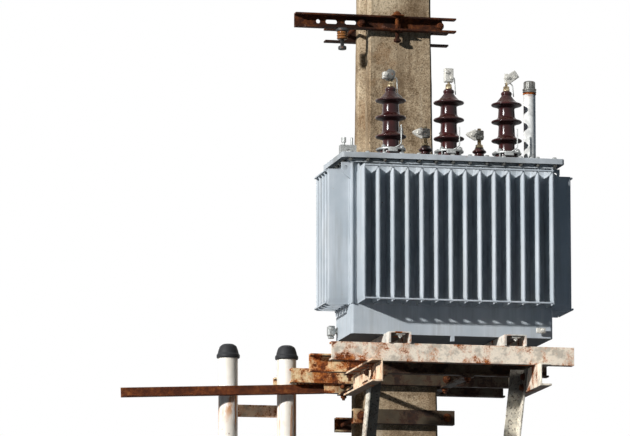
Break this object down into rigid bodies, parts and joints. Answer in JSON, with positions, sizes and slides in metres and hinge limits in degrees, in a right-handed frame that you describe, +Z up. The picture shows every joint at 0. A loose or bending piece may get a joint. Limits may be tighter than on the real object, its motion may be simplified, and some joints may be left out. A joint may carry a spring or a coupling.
{
  "type": "pole mounted transformer",
  "caption": "Corrugated-tank distribution transformer on a channel steel platform clamped to an H-section concrete pole, with porcelain bushings, crossarm and cable riser pipes.",
  "frame": {"origin": "centre of the pole's foot at ground level", "axes": "+Z up along the pole, -Y towards the front of the transformer tank, +X to its right seen from the front"},
  "size_m": [1.903, 1.3925, 8.3],
  "materials": {
    "concrete": "weathered cast concrete",
    "tank_paint": "satin grey paint, weathered",
    "white_paint": "weathered white paint",
    "orange_glaze": "glossy orange brown glaze",
    "brown_glaze": "glossy brown glaze",
    "zinc": "dull zinc",
    "brass": "tarnished brass",
    "rusty_steel": "rusted steel with remains of white paint",
    "black_rubber": "matt black rubber"
  },
  "bodies": {
    "root": {"arm_left": "rusty_steel", "arm_right": "rusty_steel", "arrester_body": "orange_glaze", "arrester_fittings": "zinc", "beam_front": "rusty_steel", "beam_rear": "rusty_steel", "brace_left": "rusty_steel", "brace_right": "rusty_steel", "clamp_back": "rusty_steel", "clamp_front": "rusty_steel", "clamp_rods": "rusty_steel", "crossarm_front": "rusty_steel", "crossarm_rear": "rusty_steel", "crossarm_rods": "rusty_steel", "drain_valve": "zinc", "filler_cap": "white_paint", "filler_pipe": "white_paint", "fins_front": "tank_paint", "fins_left": "tank_paint", "fins_rear": "tank_paint", "fins_right": "tank_paint", "insulator_pin": "rusty_steel", "lid": "tank_paint", "lid_bracket": "tank_paint", "lifting_lugs": "tank_paint", "lower_clamp_back": "rusty_steel", "lower_clamp_front": "rusty_steel", "lower_clamp_rods": "rusty_steel", "lv_bushings": "brown_glaze", "lv_terminals": "brass", "mid_clamp_bars": "rusty_steel", "mv_bushing_left": "brown_glaze", "mv_bushing_middle": "brown_glaze", "mv_bushing_right": "brown_glaze", "mv_clamps": "zinc", "mv_terminals": "brass", "pipe_bar": "rusty_steel", "pipe_cap_1": "black_rubber", "pipe_cap_2": "black_rubber", "pipe_spacer": "rusty_steel", "pole": "concrete", "pole_ties": "rusty_steel", "riser_pipe_1": "white_paint", "riser_pipe_2": "white_paint", "skid_left": "rusty_steel", "skid_right": "rusty_steel", "tank": "tank_paint", "tank_flange": "tank_paint", "tie_rods": "tank_paint"}
  },
  "joints": []
}
